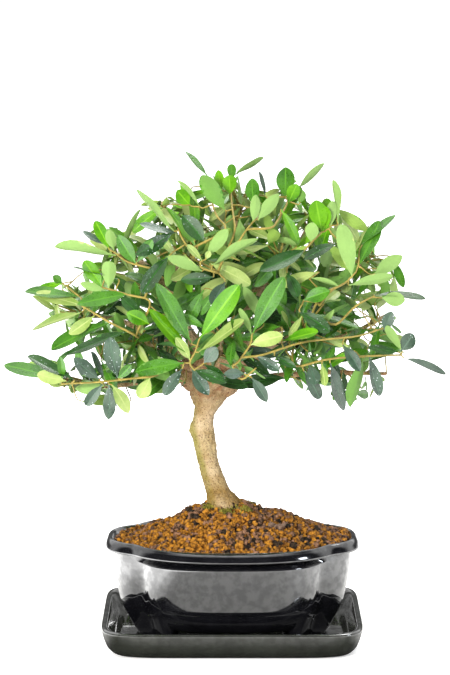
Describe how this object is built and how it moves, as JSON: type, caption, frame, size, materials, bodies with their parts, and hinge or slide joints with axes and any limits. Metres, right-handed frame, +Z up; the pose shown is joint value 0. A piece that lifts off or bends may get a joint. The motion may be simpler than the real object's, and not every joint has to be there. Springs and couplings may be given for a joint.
{
  "type": "potted olive bonsai",
  "caption": "Small olive tree with a bent tapering trunk and an open domed crown of narrow leaves, growing in a lobed black glazed pot with cloud shaped feet on a matching drip tray.",
  "frame": {"origin": "centre of the drip tray's flat underside, on the surface it stands on", "axes": "+Z up, +X to the right and -Y towards someone who faces the front of the tree"},
  "size_m": [0.355, 0.2449, 0.395],
  "materials": {
    "tray_glaze": "gloss",
    "pot_glaze": "gloss",
    "soil": "matte",
    "bark": "rough",
    "leaf": "satin"
  },
  "bodies": {
    "root": {"bough_back": "bark", "bough_back_left": "bark", "bough_back_low": "bark", "bough_back_right": "bark", "bough_back_top": "bark", "bough_front": "bark", "bough_front_left": "bark", "bough_front_right": "bark", "bough_front_top_left": "bark", "bough_front_top_right": "bark", "bough_high_left": "bark", "bough_high_right": "bark", "bough_left": "bark", "bough_low_left": "bark", "bough_low_right": "bark", "bough_right": "bark", "bough_top": "bark", "bough_top_left": "bark", "bough_top_right": "bark", "foliage_back": "leaf", "foliage_back_left": "leaf", "foliage_back_low": "leaf", "foliage_back_right": "leaf", "foliage_back_top": "leaf", "foliage_front": "leaf", "foliage_front_left": "leaf", "foliage_front_right": "leaf", "foliage_front_top_left": "leaf", "foliage_front_top_right": "leaf", "foliage_high_left": "leaf", "foliage_high_right": "leaf", "foliage_left": "leaf", "foliage_low_left": "leaf", "foliage_low_right": "leaf", "foliage_right": "leaf", "foliage_top": "leaf", "foliage_top_left": "leaf", "foliage_top_right": "leaf", "pot": "pot_glaze", "soil": "soil", "tray": "tray_glaze", "trunk": "bark"}
  },
  "joints": []
}
